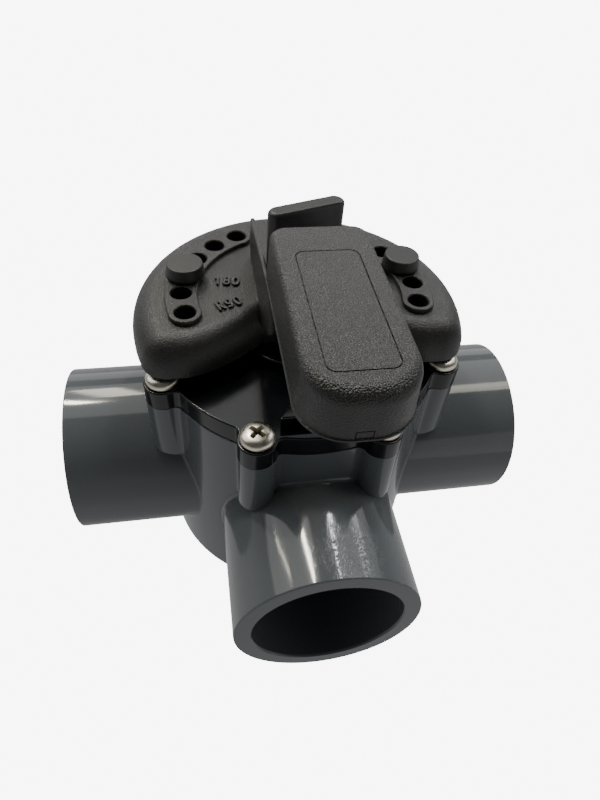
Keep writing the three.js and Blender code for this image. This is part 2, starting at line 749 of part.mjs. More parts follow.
addPiece('knob_stud', knobStud(), STEEL);
addPiece('locking_knob', lockingKnob(), SATIN_PLASTIC);

export default valve;
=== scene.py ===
import math

import bmesh
import bpy
from mathutils import Matrix, Vector


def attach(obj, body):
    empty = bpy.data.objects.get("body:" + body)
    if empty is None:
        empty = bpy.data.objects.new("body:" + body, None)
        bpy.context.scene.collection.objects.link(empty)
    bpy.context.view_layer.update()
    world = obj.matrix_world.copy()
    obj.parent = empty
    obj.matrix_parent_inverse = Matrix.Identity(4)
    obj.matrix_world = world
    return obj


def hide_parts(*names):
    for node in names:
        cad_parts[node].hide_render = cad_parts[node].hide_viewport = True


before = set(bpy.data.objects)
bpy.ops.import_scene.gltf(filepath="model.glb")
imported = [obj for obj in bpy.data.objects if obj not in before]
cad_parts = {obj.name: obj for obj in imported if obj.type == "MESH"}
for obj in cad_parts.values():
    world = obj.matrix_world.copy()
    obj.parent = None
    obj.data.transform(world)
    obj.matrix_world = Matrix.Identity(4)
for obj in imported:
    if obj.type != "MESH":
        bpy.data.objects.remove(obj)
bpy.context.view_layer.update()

# Sizes are in millimetres, in the row frame, and each mesh is scaled to metres when it is finished.
# Angles are in degrees.
MM = 0.001
GAP = 0.3
PAST = 1    # how far a cutting or joined shape runs past a surface

# Ports
PORT_RADIUS = 30.15
SOCKET_RADIUS = 24.2
SOCKET_FOOT_RADIUS = 24.0
SOCKET_DEPTH = 36
BORE_RADIUS = 21
PORT_REACH = 82
PORT_HEIGHT = 37
PORT_ANGLES = (180, 0, 270)
PORT_FILLET = 1.6
PORT_EDGE = 0.5
PORT_START = 30
PORT_FILLET_SINK = 14
PORT_FILLET_STEPS = 8
PORT_SEGMENTS = 144
BORE_START = 20
SHOULDER_ROUND = 0.8
SOCKET_FOOT_ROUND = 0.5
MOUTH_FOOT_ROUND = 1.2
MOUTH_ROUND = 0.3

# Body
BODY_RADIUS = 48.2
BODY_TOP = 81
FOOT_ROUND = 3
CHAMBER_RADIUS = 42.5
CHAMBER_FLOOR = 5
PIVOT_RADIUS = 8.3
PIVOT_POCKET = 2.5
SCREW_CIRCLE = 49.7
SCREW_ANGLES = [22.5 + 45 * i for i in range(8)]
BOSS_RADIUS = 6
BOSS_FOOT = 56.5
BOSS_FOOT_ROUND = 3.2
BOSS_FILLET = 2.2
FILLET_STEPS = 6
BUMP_STEPS = 22
PLAIN_STEPS = 16
PILOT_RADIUS = 2.3
PILOT_FOOT = 63

# Cover
COVER_RADIUS = 47.8
COVER_FOOT = 81.3
COVER_TOP = 88
EAR_RADIUS = 6.1
EDGE = 0.5
PLUG_RADIUS = 42.2
PLUG_FOOT = 70.2
GROOVE_RADIUS = 39.5
GROOVE_HEIGHTS = (73.6, 76.8)
GROOVE_ROUND = 0.3
PLUG_ROUND = 0.6
COVER_BOSS_RADIUS = 20
COVER_BOSS_TOP = 91.5
STEM_BORE_RADIUS = 9.3
STOP_TOP = 92.2
STOP_PLAN = ((12, -42.4), (6.5, -34), (-6.5, -34), (-12, -42.4))

# Screws
SCREW_SHANK = 2
SCREW_TIP = 64.5
SCREW_TAPER = 4
SCREW_LIFT = 0.1
HEAD_RADIUS = 5.3
HEAD_HEIGHT = 3.4
HEAD_SIDE = 1.1
HEAD_LOWER_EDGE = ((0.5, 0), (0.1, 0.2), (0, 0.5))      # inset, rise above the seat
HEAD_POWER = 0.75
HEAD_INVERSE_POWER = 2.67                               # about 2 / HEAD_POWER
# Half length, half width, rise from the head's top
RECESS_ARM = ((1.1, 0.45, -2.3), (3.0, 0.82, 0), (3.4, 0.95, 1))
RECESS_EDGE = 0.16
# Painted shade in each screw's cross recess: its reach from the axis, as a share of the head's
# radius, and its depth below the dome
RECESS_SHADE_REACH = 0.65
RECESS_SHADE_DEPTH = (0.15, 0.5)                               # where it starts, and its range
SCREW_TURNS = (20, 75, 140, 35, 110, 45, 60, 95)

# Handle dial
DIAL_RADIUS = 54.5
DIAL_FOOT = 92.5
DIAL_TOP = 104.8
DIAL_INSET = 8.3
DIAL_DROP = 9.4
DIAL_WALL = 3
DIAL_LOWER_EDGE = ((0.4, 0), (0.1, 0.15), (0.0, 0.4))   # inset, rise above the foot
DIAL_STEPS = 120
CAVITY_BEND = 3.5
CAVITY_SHOULDER = (1.3, 3.2)                            # inset, depth below its ceiling
CAVITY_CEILING_INSET = 4.4
LOBE_RADIUS = 8.6
LOBE_ANGLE = 19.1
LOBE_FLAT = (38, -23.5)
LOBE_BEND = (28, -22)
LOBE_ROOT = (13.6, -9.5)
LOBE_STEPS = 14
BAY_STEPS = 16
HUB_RADIUS = 13
HUB_FOOT = 92
HOLE_CIRCLE = 38.3
HOLE_RADIUS = 3.35
FIRST_HOLE = 77
HOLE_PITCH = 15
HOLE_COUNT = 6
HOLE_CHAMFER = 0.3
HOLE_MOUTH_RISE = 0.02
PAD_HALF_WIDTH = 5.1
PAD_TOP = 106.4
PAD_EDGE = 0.45
STRIP_STEPS = 40
STRIP_END_STEPS = 16
RAIL_FOOT = 96
STEM_HALF = 6.8

# Lever and support
LEVER_TOP = 138.7
LEVER_RIM = 124.6
LEVER_TOP_HALF = 13.3
LEVER_RIM_HALF = 14.3
LEVER_FAR = -16.5
LEVER_NEAR = -79.8
LEVER_TOP_NEAR = -79.6
LEVER_NEAR_RADIUS = 12
LEVER_FAR_RADIUS = 3.2
LEVER_SIDE_ROUND = 1.6
LEVER_NEAR_ROUND = 3.8
LEVER_WALL = 2.5
LEVER_NEAR_ZONE = LEVER_NEAR_RADIUS + 4     # where the side's round grows into the near round
LEVER_NEAR_STEPS = 20
LEVER_FAR_STEPS = 8
LEVER_STEPS = 10
LEVER_LEAST_ROUNDS = (0.8, 1.2)             # of the side and the near end, inside the wall
LEVER_RADIUS_LOSS = 1.0                     # of the near corners, from the rim to the top
LEVER_LEAST_RADIUS = 2.0
LIP = ((-0.1, 0), (0.25, 0.2), (0.25, 0.7), (0.0, 0.95))    # growth, rise above the rim
LIP_INSET = 0.25
SUPPORT_HALF = 14.1
SUPPORT_WALL = 1.5
SUPPORT_FRONT = -27
SUPPORT_FRONT_FOOT = 110.3
SUPPORT_HEEL = -9
SUPPORT_HEEL_FOOT = 103.5
SUPPORT_FOOT = 95.6
FIN_START = LEVER_FAR - 3
FIN_START_TOP = 123.8
FIN_END = 23.5
FIN_END_TOP = 119.5
FIN_END_ROUND = 1.2
SUPPORT_FRONT_ROUND = 1.5
SUPPORT_EDGE = 0.6

# Grooves in the lever: a rounded rectangle on its top, and a small oblong on its near face
PANEL_HALF = 8.2
PANEL_NEAR = -72.3
PANEL_FAR = -28.0
PANEL_ROUND = 2.5
PANEL_WIDTH = 0.34
PANEL_DEPTH = 0.4
FRAME_CENTRE = -0.4
FRAME_HALF = 2.1
FRAME_FOOT = 125.6
FRAME_TOP = 127.9
FRAME_WIDTH = 0.25
FRAME_DEPTH = 0.3

# Raised labels on the dial
FIGURE_SIZE = (1.9, 3.8)
FIGURE_PEN = 0.42
FIGURE_PITCH = 2.95
FIGURE_RISE = 0.8
FIGURE_SINK = 0.5
FIGURE_EDGE = 0.15
PEN_STEPS = 8
OVAL_STEPS = 28
# Text, centre and turn
LABELS = (
    ("180", (-23.4, 8.2), -8),
    ("R90", (-23.6, -3.8), 21),
    ("180", (23.4, 8.2), 8),
    ("L90", (23.6, -3.8), -21),
)
# Each stroke is a line through points, or an oval's centre and radii, in parts of the
# figure's size.
GLYPHS = {
    "0": (("oval", (0.5, 0.5), (0.5, 0.5)),),
    "1": (("line", (0.55, 0), (0.55, 1)), ("line", (0.55, 1), (0.15, 0.76))),
    "8": (("oval", (0.5, 0.26), (0.5, 0.26)), ("oval", (0.5, 0.76), (0.44, 0.24))),
    "9": (("oval", (0.5, 0.7), (0.46, 0.3)),
          ("line", (0.95, 0.7), (0.94, 0.42), (0.82, 0.16), (0.55, 0), (0.2, 0.04))),
    "L": (("line", (0.1, 1), (0.1, 0)), ("line", (0.1, 0), (0.9, 0))),
    "R": (("line", (0.08, 0), (0.08, 1)), ("line", (0.45, 0.46), (0.95, 0)),
          ("line", (0.08, 1), (0.5, 1), (0.8, 0.92), (0.9, 0.73), (0.8, 0.54), (0.5, 0.46),
           (0.08, 0.46))),
}

# Pins, knob and washer
PIN_HEAD = (6.4, 5.8)           # radius at its foot and at its top
PIN_HEAD_HEIGHT = 4.3
PIN_SHANK = 3.05
PIN_TIP = 2.4
PIN_SHOULDER = 97
PIN_FOOT = 88.8
PIN_HOLE = 2
PIN_ROUND = 0.5
PIN_HEAD_FOOT_ROUND = 0.4
WASHER = (11, 4.5, 1.2)         # outer radius, inner radius, thickness
WASHER_ROUNDS = (0.15, 0.25, 0.35)      # of its bore, its lower edge and its upper edge
FLANGE_RADIUS = 11.5
FLANGE_HEIGHT = 5
FLANGE_ROUNDS = (0.4, 1.2)
NECK_RADIUS = 8
NECK_HEIGHT = 8
NECK_TAPER = 1
NECK_ROUNDS = (1.0, 1.5)
WING_TOP = 136.3
WING_HALF = 12.3
WING_THICK = 5.2
WING_TURN = 18
WING_FOOT_GROWTH = 0.25
WING_ROUNDS = (1.6, 0.7, 1.3)   # at its ends, its sides and downwards from its top
WING_STEPS = 10
WING_END_STEPS = 16
STUD_HOLE = 4.3
STUD_HOLE_TOP = 116.3

# The rubbed patch on top of the front port: its centre, and where it fades and is full, in metres
RUBBED_PATCH = (0.007, -0.074, 0.066)
RUBBED_REACH = (0.016, 0.004)

# Heights between which the lever's top turns from smoother to fully grained, in metres
GRAIN_HEIGHTS = (0.1355, 0.1383)
PLASTIC_IOR = 1.5


# ------------------------------------------------------------------ mesh making

def mesh_object(name, points, faces):
    mesh = bpy.data.meshes.new(name)
    mesh.from_pydata(points, [], faces)
    made = bpy.data.objects.new(name, mesh)
    bpy.context.scene.collection.objects.link(made)
    weld(made)
    return made


def weld(made, distance=1e-3):
    work = bmesh.new()
    work.from_mesh(made.data)
    bmesh.ops.remove_doubles(work, verts=work.verts, dist=distance)
    bmesh.ops.dissolve_degenerate(work, edges=work.edges, dist=distance / 2)
    bmesh.ops.recalc_face_normals(work, faces=work.faces)
    work.to_mesh(made.data)
    work.free()


def level(outline, height):
    return [(x, y, height) for x, y in outline]


def quarter(steps):
    """The turns of a quarter circle, from 0, in equal steps."""
    return [math.pi / 2 * step / steps for step in range(steps + 1)]


def skin(name, levels, ring=False):
    """A closed skin over rings of equal length; a level of one point closes it to a tip."""
    points, faces, rows = [], [], []
    for level in levels:
        rows.append(list(range(len(points), len(points) + len(level))))
        points.extend(level)
    pairs = list(zip(rows, rows[1:]))
    if ring:
        pairs.append((rows[-1], rows[0]))
    for low, high in pairs:
        count = max(len(low), len(high))
        for i in range(count):
            j = (i + 1) % count
            if len(low) == 1:
                faces.append((low[0], high[j], high[i]))
            elif len(high) == 1:
                faces.append((low[i], low[j], high[0]))
            else:
                faces.append((low[i], low[j], high[j], high[i]))
    if not ring:
        if len(rows[0]) > 1:
            faces.append(tuple(reversed(rows[0])))
        if len(rows[-1]) > 1:
            faces.append(tuple(rows[-1]))
    return mesh_object(name, points, faces)


def lathe(name, profile, segments=96, ring=False):
    """A solid turned about Z from a list of (radius, height)."""
    levels = []
    for radius, height in profile:
        if radius == 0:
            levels.append([(0, 0, height)])
            continue
        turns = [2 * math.pi * i / segments for i in range(segments)]
        levels.append([(radius * math.cos(t), radius * math.sin(t), height) for t in turns])
    return skin(name, levels, ring)


def arc(x, y, radius, start, end, steps):
    turns = [math.radians(start + (end - start) * i / steps) for i in range(steps + 1)]
    return [(x + radius * math.cos(t), y + radius * math.sin(t)) for t in turns]


def soften(corners, closed=False, steps=5):
    """A line through (x, y, radius) corners, each rounded with an arc of its radius."""
    line = []
    for i, (x, y, radius) in enumerate(corners):
        at_end = not closed and i in (0, len(corners) - 1)
        if radius == 0 or at_end:
            line.append((x, y))
            continue
        corner = Vector((x, y))
        back = (Vector(corners[i - 1][:2]) - corner).normalized()
        on = (Vector(corners[(i + 1) % len(corners)][:2]) - corner).normalized()
        half = back.angle(on) / 2
        centre = corner + (back + on).normalized() * radius / math.sin(half)
        start = corner + back * radius / math.tan(half) - centre
        end = corner + on * radius / math.tan(half) - centre
        turn = math.atan2(start.x * end.y - start.y * end.x, start.dot(end))
        for step in range(steps + 1):
            spoke = start.copy()
            spoke.rotate(Matrix.Rotation(turn * step / steps, 2))
            line.append(tuple(centre + spoke))
    return line


def prism(name, outline, foot, top, edge=0.0):
    """An upright prism on a plan. With an edge, the outline is a function from inset to plan,
    and the upper edge is rounded."""
    if not edge:
        return skin(name, [level(outline, foot), level(outline, top)])
    levels = [level(outline(0.0), foot)]
    for turn in quarter(3):
        inset = edge * (1 - math.cos(turn))
        levels.append(level(outline(inset), top - edge * (1 - math.sin(turn))))
    return skin(name, levels)


def block(name, low, high):
    (x0, y0, z0), (x1, y1, z1) = low, high
    plan = [(x0, y0), (x1, y0), (x1, y1), (x0, y1)]
    return prism(name, plan, z0, z1)


def turned(made, angle=0.0, axis="Z", shift=(0, 0, 0)):
    made.data.transform(Matrix.Rotation(math.radians(angle), 4, axis))
    made.data.transform(Matrix.Translation(shift))
    return made


def apply_modifiers(made):
    graph = bpy.context.evaluated_depsgraph_get()
    mesh = bpy.data.meshes.new_from_object(made.evaluated_get(graph))
    made.modifiers.clear()
    old = made.data
    made.data = mesh
    mesh.name = made.name
    bpy.data.meshes.remove(old)


def combine(made, tools, operation):
    for tool in tools:
        step = made.modifiers.new("combine", "BOOLEAN")
        step.operation = operation
        step.solver = "MANIFOLD"
        step.object = tool
        apply_modifiers(made)
        if len(made.data.polygons) == 0:
            raise RuntimeError(f"{operation} of {tool.name} emptied {made.name}")
        bpy.data.objects.remove(tool)
    return made


def join(made, *tools):
    return combine(made, tools, "UNION")


def cut(made, *tools):
    return combine(made, tools, "DIFFERENCE")


def bevel(made, width, segments=2, angle=30):
    step = made.modifiers.new("bevel", "BEVEL")
    step.width = width
    step.segments = segments
    step.limit_method = "ANGLE"
    step.angle_limit = math.radians(angle)
    apply_modifiers(made)
    return made


def finished(made, name, body, nodes, material, smooth=32):
    """Scales a piece to metres, shades it and ties it to its body and CAD nodes."""
    made.name = name
    made.data.name = name
    weld(made)
    made.data.transform(Matrix.Scale(MM, 4))
    made.data.shade_smooth()
    made.data.set_sharp_from_angle(angle=math.radians(smooth))
    step = made.modifiers.new("normals", "WEIGHTED_NORMAL")
    step.keep_sharp = True
    step.mode = "FACE_AREA"
    step.weight = 100
    made.data.materials.clear()
    made.data.materials.append(material)
    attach(made, body)
    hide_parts(*nodes)
    return made


def at_angle(radius, angle):
    turn = math.radians(angle)
    return radius * math.cos(turn), radius * math.sin(turn)


# ------------------------------------------------------------------ materials

class Nodes:
    """Short hand for building one material's node tree."""

    def __init__(self, name):
        self.material = bpy.data.materials.new(name)
        self.material.use_nodes = True
        self.tree = self.material.node_tree
        self.shader = self.tree.nodes["Principled BSDF"]
        self.place = self.tree.nodes.new("ShaderNodeTexCoord").outputs["Object"]

    def node(self, kind, **values):
        made = self.tree.nodes.new(kind)
        for key, value in values.items():
            setattr(made, key, value)
        return made

    def link(self, source, target):
        if isinstance(source, (int, float)):
            target.default_value = source
        elif isinstance(source, tuple):
            target.default_value = (*source, 1.0)
        else:
            self.tree.links.new(source, target)

    def set(self, **values):
        for key, value in values.items():
            self.link(value, self.shader.inputs[key.replace("_", " ")])

    def stretched(self, scale):
        step = self.node("ShaderNodeMapping")
        step.inputs["Scale"].default_value = scale
        self.tree.links.new(self.place, step.inputs["Vector"])
        return step.outputs["Vector"]

    def noise(self, scale, detail=3.0, rough=0.5, vector=None, distortion=0.0):
        step = self.node("ShaderNodeTexNoise")
        self.tree.links.new(vector or self.place, step.inputs["Vector"])
        step.inputs["Scale"].default_value = scale
        step.inputs["Detail"].default_value = detail
        step.inputs["Roughness"].default_value = rough
        step.inputs["Distortion"].default_value = distortion
        return step.outputs["Fac"]

    def cells(self, scale):
        step = self.node("ShaderNodeTexVoronoi", feature="F1")
        self.tree.links.new(self.place, step.inputs["Vector"])
        step.inputs["Scale"].default_value = scale
        return step.outputs["Distance"]

    def between(self, value, low, high, to_low=0.0, to_high=1.0, smooth=False):
        step = self.node("ShaderNodeMapRange")
        if smooth:
            step.interpolation_type = "SMOOTHSTEP"
        self.tree.links.new(value, step.inputs["Value"])
        for key, number in (("From Min", low), ("From Max", high),
                            ("To Min", to_low), ("To Max", to_high)):
            step.inputs[key].default_value = number
        return step.outputs["Result"]

    def math(self, operation, first, second):
        step = self.node("ShaderNodeMath", operation=operation)
        self.link(first, step.inputs[0])
        self.link(second, step.inputs[1])
        return step.outputs["Value"]

    def mix(self, share, first, second):
        step = self.node("ShaderNodeMix", data_type="RGBA")
        self.link(share, step.inputs["Factor"])
        self.link(first, step.inputs["A"])
        self.link(second, step.inputs["B"])
        return step.outputs["Result"]

    def axis(self, name):
        step = self.node("ShaderNodeSeparateXYZ")
        self.tree.links.new(self.place, step.inputs["Vector"])
        return step.outputs[name]

    def bump(self, height, strength, distance, below=None):
        """A bump of the given distance in millimetres, over the normal below it."""
        step = self.node("ShaderNodeBump")
        self.link(height, step.inputs["Height"])
        step.inputs["Strength"].default_value = strength
        step.inputs["Distance"].default_value = distance * MM
        if below is not None:
            self.tree.links.new(below, step.inputs["Normal"])
        return step.outputs["Normal"]

    def near(self, point):
        """The distance from a fixed point of the object, in metres."""
        step = self.node("ShaderNodeVectorMath", operation="DISTANCE")
        self.tree.links.new(self.place, step.inputs[0])
        step.inputs[1].default_value = point
        return step.outputs["Value"]


def grey_plastic():
    n = Nodes("grey_plastic")
    dark, light = (0.104, 0.115, 0.123), (0.126, 0.139, 0.149)
    cloud = n.noise(scale=9, detail=2, rough=0.5)
    n.set(Base_Color=n.mix(n.between(cloud, 0.2, 0.8), dark, light))
    rub = n.between(n.near(RUBBED_PATCH), *RUBBED_REACH, smooth=True)
    scuffs = n.noise(scale=950, detail=4, rough=0.65, distortion=0.8)
    scuffed = n.math("MULTIPLY", rub, n.between(scuffs, 0.47, 0.6))
    handling = n.noise(scale=60, detail=3, rough=0.55)
    handled = n.between(handling, 0.2, 0.8, to_low=0.07, to_high=0.11)
    n.set(Roughness=n.math("MAXIMUM", handled, n.math("MULTIPLY", scuffed, 0.5)))
    waves = n.bump(n.noise(scale=38, detail=1, rough=0.4), strength=0.12, distance=0.1)
    fine = n.bump(n.noise(scale=900, detail=2, rough=0.5), strength=0.05, distance=0.03,
                  below=waves)
    n.set(Normal=n.bump(scuffed, strength=0.35, distance=0.06, below=fine))
    n.set(IOR=PLASTIC_IOR)
    return n.material


def black_plastic():
    n = Nodes("black_plastic")
    dark, light, dust = (0.001, 0.002, 0.003), (0.002, 0.003, 0.0045), (0.012, 0.013, 0.014)
    cloud = n.noise(scale=20, detail=2, rough=0.5)
    speck = n.between(n.noise(scale=900, detail=2, rough=0.7), 0.7, 0.76)
    n.set(Base_Color=n.mix(speck, n.mix(cloud, dark, light), dust))
    n.set(Roughness=n.between(cloud, 0.2, 0.8, to_low=0.12, to_high=0.18))
    n.set(Normal=n.bump(n.noise(scale=160, detail=2, rough=0.5), strength=0.08, distance=0.04))
    n.set(IOR=PLASTIC_IOR)
    return n.material


def grained_plastic():
    n = Nodes("grained_plastic")
    dark, light = (0.0175, 0.018, 0.017), (0.0225, 0.023, 0.0215)
    on_top = n.between(n.axis("Z"), *GRAIN_HEIGHTS, to_low=0.55, to_high=1.0)
    pebbles = n.cells(scale=2000)
    folds = n.noise(scale=2500, detail=1, rough=0.6)
    leather = n.math("ADD", pebbles, n.math("MULTIPLY", folds, 0.6))
    cloud = n.noise(scale=28, detail=3, rough=0.55)
    n.set(Base_Color=n.mix(n.between(cloud, 0.25, 0.75), dark, light))
    n.set(Roughness=n.between(folds, 0.35, 0.65, to_low=0.28, to_high=0.44))
    n.set(Normal=n.bump(n.math("MULTIPLY", leather, on_top), strength=1.0, distance=0.21))
    n.set(IOR=PLASTIC_IOR)
    return n.material


def satin_plastic():
    n = Nodes("satin_plastic")
    dark, light = (0.025, 0.026, 0.026), (0.032, 0.033, 0.033)
    cloud = n.noise(scale=60, detail=3, rough=0.6)
    n.set(Base_Color=n.mix(n.between(cloud, 0.3, 0.7), dark, light))
    patches = n.noise(scale=500, detail=3, rough=0.6)
    n.set(Roughness=n.between(patches, 0.3, 0.7, to_low=0.36, to_high=0.48))
    n.set(Normal=n.bump(n.noise(scale=1600, detail=2, rough=0.6), strength=0.25, distance=0.04))
    n.set(IOR=PLASTIC_IOR)
    return n.material


def inner_plastic():
    n = Nodes("inner_plastic")
    cloud = n.noise(scale=40, detail=3, rough=0.6)
    n.set(Base_Color=n.mix(cloud, (0.016, 0.018, 0.02), (0.03, 0.032, 0.034)))
    n.set(Roughness=n.between(cloud, 0.3, 0.7, to_low=0.34, to_high=0.5))
    n.set(Normal=n.bump(n.noise(scale=700, detail=2, rough=0.6), strength=0.2, distance=0.05))
    return n.material


def rubber():
    n = Nodes("rubber")
    cloud = n.noise(scale=80, detail=3, rough=0.6)
    n.set(Base_Color=n.mix(cloud, (0.009, 0.009, 0.009), (0.02, 0.02, 0.019)))
    n.set(Roughness=n.between(cloud, 0.3, 0.7, to_low=0.55, to_high=0.8))
    n.set(Normal=n.bump(n.noise(scale=1500, detail=2, rough=0.6), strength=0.3, distance=0.05))
    return n.material


def steel():
    n = Nodes("steel")
    dull, bright, recess_shade_tone = (0.76, 0.72, 0.6), (0.86, 0.82, 0.7), (0.1, 0.065, 0.03)
    cloud = n.noise(scale=300, detail=4, rough=0.6)
    scratch = n.noise(scale=2500, detail=2, rough=0.6, vector=n.stretched((1, 6, 1)))
    unshaded_tone = n.mix(n.between(cloud, 0.35, 0.7), dull, bright)
    # Painted shade: the screws' recess attribute mixes a brown shade tone into the cross recesses
    # and roughens them
    recess_shade = n.node("ShaderNodeAttribute", attribute_name="recess_shade").outputs["Fac"]
    n.set(Base_Color=n.mix(recess_shade, unshaded_tone, recess_shade_tone))
    n.set(Metallic=1.0)
    polish = n.between(cloud, 0.3, 0.7, to_low=0.24, to_high=0.36)
    n.set(Roughness=n.math("ADD", polish, n.math("MULTIPLY", recess_shade, 0.4)))
    n.set(Normal=n.bump(scratch, strength=0.2, distance=0.02))
    return n.material


MATERIALS = {
    "grey_plastic": grey_plastic(),
    "black_plastic": black_plastic(),
    "grained_plastic": grained_plastic(),
    "satin_plastic": satin_plastic(),
    "inner_plastic": inner_plastic(),
    "rubber": rubber(),
    "steel": steel(),
}


# ------------------------------------------------------------------ body and cover

def flower(radius, bump_radius, fillet, inset=0.0, swell=1.0):
    """A circle with eight round bumps on the screw circle, joined to it by fillets.
    The bumps stand out fully at swell 1, and not at all at 0."""
    base = radius - inset
    bump = bump_radius - inset
    soft = fillet + inset
    x = ((base + soft) ** 2 - (bump + soft) ** 2 + SCREW_CIRCLE ** 2) / (2 * SCREW_CIRCLE)
    y = math.sqrt((base + soft) ** 2 - x * x)
    on_base = math.degrees(math.atan2(y, x))
    on_bump = math.degrees(math.atan2(y, x - SCREW_CIRCLE))
    bend = arc(x, y, soft, on_base + 180, on_bump + 180, FILLET_STEPS)
    crown = arc(SCREW_CIRCLE, 0, bump, on_bump, -on_bump, BUMP_STEPS)[1:-1]
    side = [*reversed(crown), *reversed(bend)]
    half = [(px, -py) for px, py in bend]
    pitch = 360 / len(SCREW_ANGLES)
    plain = arc(0, 0, base, on_base, pitch - on_base, PLAIN_STEPS)[1:-1]
    sector = [*half, *side, *plain]
    outline = []
    for angle in SCREW_ANGLES:
        turn = Matrix.Rotation(math.radians(angle), 2)
        for point in sector:
            spoke = turn @ Vector(point)
            reach = base + (spoke.length - base) * swell
            outline.append(tuple(spoke.normalized() * reach))
    return outline


def body_shell():
    def ring(inset, swell, height):
        return level(flower(BODY_RADIUS, BOSS_RADIUS, BOSS_FILLET, inset, swell), height)

    levels = []
    for turn in quarter(6):
        inset = FOOT_ROUND * (1 - math.sin(turn))
        levels.append(ring(inset, 0.0, FOOT_ROUND * (1 - math.cos(turn))))
    levels.append(ring(0.0, 0.0, BOSS_FOOT))
    for turn in quarter(8)[1:]:
        height = BOSS_FOOT + BOSS_FOOT_ROUND * (1 - math.cos(turn))
        levels.append(ring(0.0, math.sin(turn), height))
    for turn in quarter(3):
        inset = EDGE / 2 * (1 - math.cos(turn))
        levels.append(ring(inset, 1.0, BODY_TOP - EDGE / 2 * (1 - math.sin(turn))))
    return skin("shell", levels)


def port_outside(angle):
    """A port along +X with a fillet where it meets the round body, then turned to its angle."""
    outer = BODY_RADIUS + PORT_FILLET
    centre_radius = PORT_RADIUS + PORT_FILLET
    sink = math.radians(PORT_FILLET_SINK)
    rings = []
    for i in range(PORT_SEGMENTS):
        turn = 2 * math.pi * i / PORT_SEGMENTS
        y = centre_radius * math.cos(turn)
        z = centre_radius * math.sin(turn)
        x = math.sqrt(outer * outer - y * y)
        centre = Vector((x, y, z))
        to_body = Vector((-x, -y, 0)).normalized()
        to_port = Vector((0, -y, -z)).normalized()
        axis = to_body.cross(to_port).normalized()
        opening = to_body.angle(to_port)
        line = []
        for step in range(PORT_FILLET_STEPS + 1):
            angle_now = -sink + (opening + sink) * step / PORT_FILLET_STEPS
            spoke = to_body.copy()
            spoke.rotate(Matrix.Rotation(angle_now, 3, axis))
            line.append(centre + spoke * PORT_FILLET)
        first = line[0]
        ray = Vector((math.cos(turn), math.sin(turn)))
        line.insert(0, Vector((PORT_START, first.y, first.z)))
        for x_end, radius in soften([(0, PORT_RADIUS, 0), (PORT_REACH, PORT_RADIUS, PORT_EDGE),
                                     (PORT_REACH, 0, 0)])[1:-1]:
            line.append(Vector((x_end, ray.x * radius, ray.y * radius)))
        rings.append(line)
    levels = [[tuple(point) for point in row] for row in zip(*rings)]
    made = skin("port", levels)
    return turned(made, angle, shift=(0, 0, PORT_HEIGHT))


def along_port(made, angle):
    turned(made, 90, "Y")
    return turned(made, angle, shift=(0, 0, PORT_HEIGHT))


def port_inside(angle):
    shoulder = PORT_REACH - SOCKET_DEPTH
    profile = soften([
        (0, BORE_START, 0),
        (BORE_RADIUS, BORE_START, 0),
        (BORE_RADIUS, shoulder, SHOULDER_ROUND),
        (SOCKET_FOOT_RADIUS, shoulder, SOCKET_FOOT_ROUND),
        (SOCKET_RADIUS, PORT_REACH - PORT_EDGE, MOUTH_FOOT_ROUND),
        (SOCKET_RADIUS + PORT_EDGE, PORT_REACH, MOUTH_ROUND),
        (SOCKET_RADIUS + PORT_EDGE, PORT_REACH + 2 * PAST, 0),
        (0, PORT_REACH + 2 * PAST, 0),
    ])
    return along_port(lathe("bore", profile, segments=128), angle)


def valve_body():
    made = body_shell()
    join(made, *[port_outside(angle) for angle in PORT_ANGLES])
    chamber = lathe("chamber", [(0, CHAMBER_FLOOR), (CHAMBER_RADIUS, CHAMBER_FLOOR),
                                (CHAMBER_RADIUS, BODY_TOP + PAST), (0, BODY_TOP + PAST)],
                    segments=160)
    pocket = lathe("pocket", [(0, PIVOT_POCKET), (PIVOT_RADIUS, PIVOT_POCKET),
                              (PIVOT_RADIUS, CHAMBER_FLOOR + PAST),
                              (0, CHAMBER_FLOOR + PAST)], segments=48)
    pilots = []
    for angle in SCREW_ANGLES:
        hole = lathe("pilot", [(0, PILOT_FOOT), (PILOT_RADIUS, PILOT_FOOT + PILOT_RADIUS),
                               (PILOT_RADIUS, BODY_TOP + PAST), (0, BODY_TOP + PAST)],
                     segments=24)
        pilots.append(turned(hole, shift=(*at_angle(SCREW_CIRCLE, angle), 0)))
    return cut(made, chamber, pocket, *[port_inside(angle) for angle in PORT_ANGLES], *pilots)


